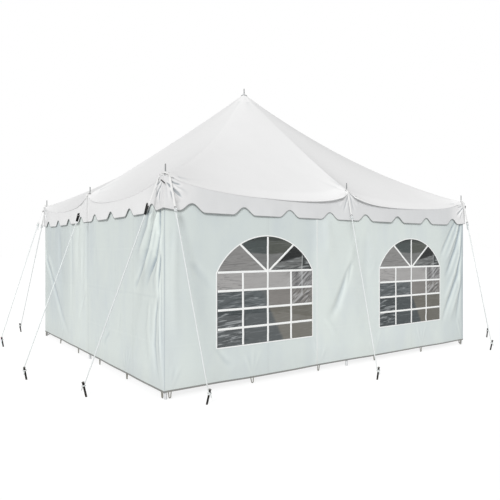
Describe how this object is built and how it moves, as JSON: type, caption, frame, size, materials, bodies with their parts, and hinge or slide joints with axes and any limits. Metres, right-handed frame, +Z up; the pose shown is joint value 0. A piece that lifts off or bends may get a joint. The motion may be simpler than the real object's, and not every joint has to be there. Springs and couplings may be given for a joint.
{
  "type": "marquee tent",
  "caption": "Square white pole tent with a peaked roof, scalloped valance, hanging side walls with arched clear windows, and guy ropes to steel stakes.",
  "frame": {"origin": "on the ground, in the middle of the box round the tent, its ropes and its stakes, where the centre pole stands", "axes": "+Z up, the windowed front wall faces -Y, +X to the right of someone who faces the front wall"},
  "size_m": [8.4099, 8.0092, 5.09],
  "materials": {
    "roof_cloth": "white coated tent cloth, satin, seams and light creases",
    "wall_cloth": "cool white coated wall cloth, satin, folded and creased",
    "clear_film": "clear flexible film, glossy and wrinkled, with welded white window bars",
    "pole_steel": "galvanised steel tube, dull",
    "stake_steel": "dark forged steel rod with a hammered head, worn bright at the head",
    "rope_white": "white twisted rope, matt"
  },
  "bodies": {
    "root": {"canopy": "roof_cloth", "valance_front": "roof_cloth", "valance_right": "roof_cloth", "valance_back": "roof_cloth", "valance_left": "roof_cloth", "peak_ring": "pole_steel", "centre_pole": "pole_steel", "foot_plate": "pole_steel", "pole_front_left": "pole_steel", "pole_front_middle": "pole_steel", "pole_front_right": "pole_steel", "pole_right_middle": "pole_steel", "pole_back_right": "pole_steel", "pole_back_middle": "pole_steel", "pole_back_left": "pole_steel", "pole_left_middle": "pole_steel", "eave_rope": "rope_white", "wall_front": "wall_cloth", "wall_right": "wall_cloth", "wall_back": "wall_cloth", "wall_left": "wall_cloth", "window_front_left": "clear_film", "window_front_right": "clear_film", "window_back_left": "clear_film", "window_back_right": "clear_film", "guy_front_left_front": "rope_white", "guy_front_right_front": "rope_white", "guy_front_middle": "rope_white", "guy_front_left_side": "rope_white", "guy_front_right_side": "rope_white", "guy_back_left_back": "rope_white", "guy_back_right_back": "rope_white", "guy_back_middle": "rope_white", "guy_back_left_side": "rope_white", "guy_back_right_side": "rope_white", "guy_left_middle": "rope_white", "guy_right_middle": "rope_white", "stake_front_left_front": "stake_steel", "stake_front_right_front": "stake_steel", "stake_front_middle": "stake_steel", "stake_front_left_side": "stake_steel", "stake_front_right_side": "stake_steel", "stake_back_left_back": "stake_steel", "stake_back_right_back": "stake_steel", "stake_back_middle": "stake_steel", "stake_back_left_side": "stake_steel", "stake_back_right_side": "stake_steel", "stake_left_middle": "stake_steel", "stake_right_middle": "stake_steel"}
  },
  "joints": []
}
